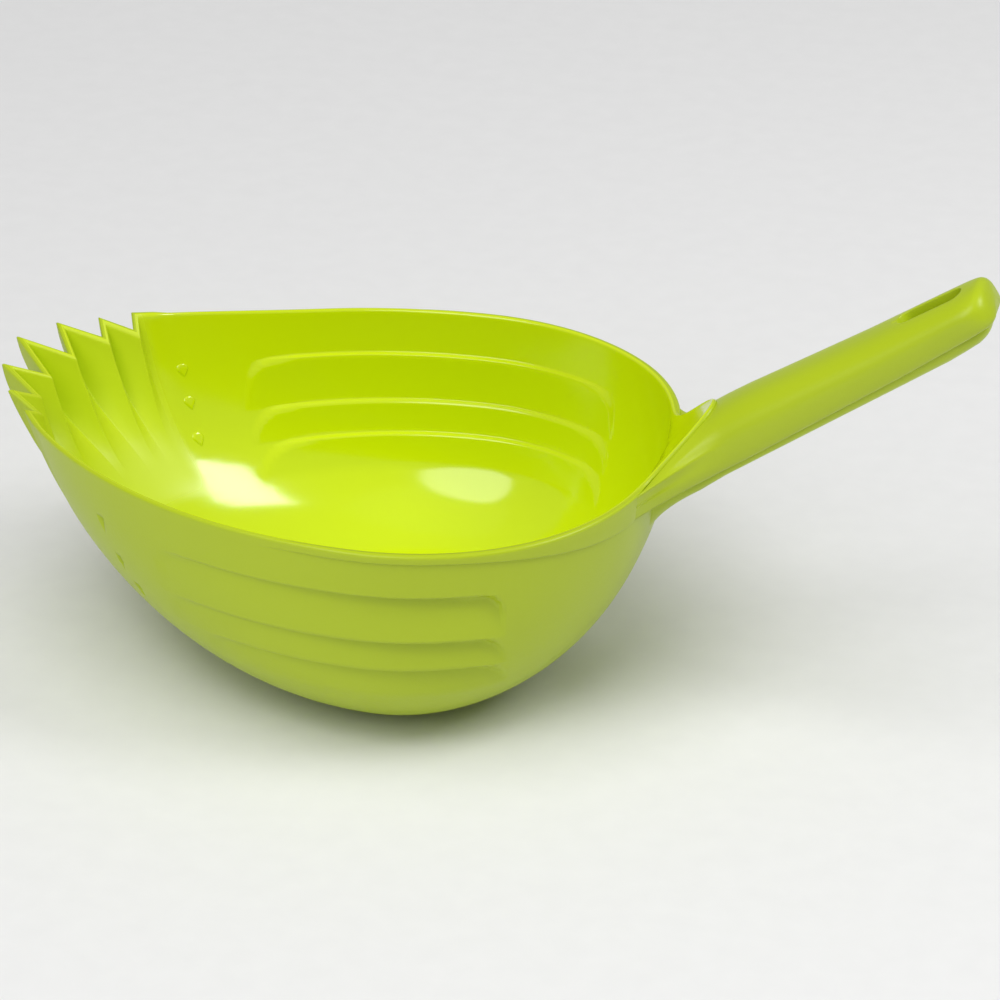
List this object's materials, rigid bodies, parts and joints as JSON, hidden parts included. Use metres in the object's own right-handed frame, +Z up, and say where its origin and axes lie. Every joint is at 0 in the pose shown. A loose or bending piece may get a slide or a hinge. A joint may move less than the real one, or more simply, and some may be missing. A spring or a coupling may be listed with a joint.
{
  "type": "leaf grabber scoop",
  "caption": "Hand-held moulded leaf scoop: a deep oval bowl with five pleated fingers on one side of its nose, ledges in its long walls and a round hollow grip with a hanging slot.",
  "frame": {"origin": "centre of the flat spot under the bowl, where the scoop stands", "axes": "+Z up out of the bowl, +X from the nose to the grip, +Y to the side whose rim starts at the fingers"},
  "size_m": [0.3659, 0.194, 0.1669],
  "materials": {
    "lime_plastic": "satin outside, as moulded",
    "gloss_inside": "polished inside"
  },
  "bodies": {
    "root": {"bowl": "lime_plastic", "heel_arch": "gloss_inside", "finger_1": "lime_plastic", "finger_2": "lime_plastic", "finger_3": "lime_plastic", "finger_4": "lime_plastic", "finger_5": "lime_plastic", "band_far": "lime_plastic", "band_near": "lime_plastic", "ledge_far_1": "gloss_inside", "ledge_far_2": "gloss_inside", "ledge_far_3": "gloss_inside", "ledge_near_1": "gloss_inside", "ledge_near_2": "gloss_inside", "ledge_near_3": "gloss_inside", "pip_far_1": "gloss_inside", "pip_far_2": "gloss_inside", "pip_far_3": "gloss_inside", "pip_near_1": "gloss_inside", "pip_near_2": "gloss_inside", "pip_near_3": "gloss_inside", "crown": "lime_plastic", "keel": "lime_plastic"}
  },
  "joints": []
}
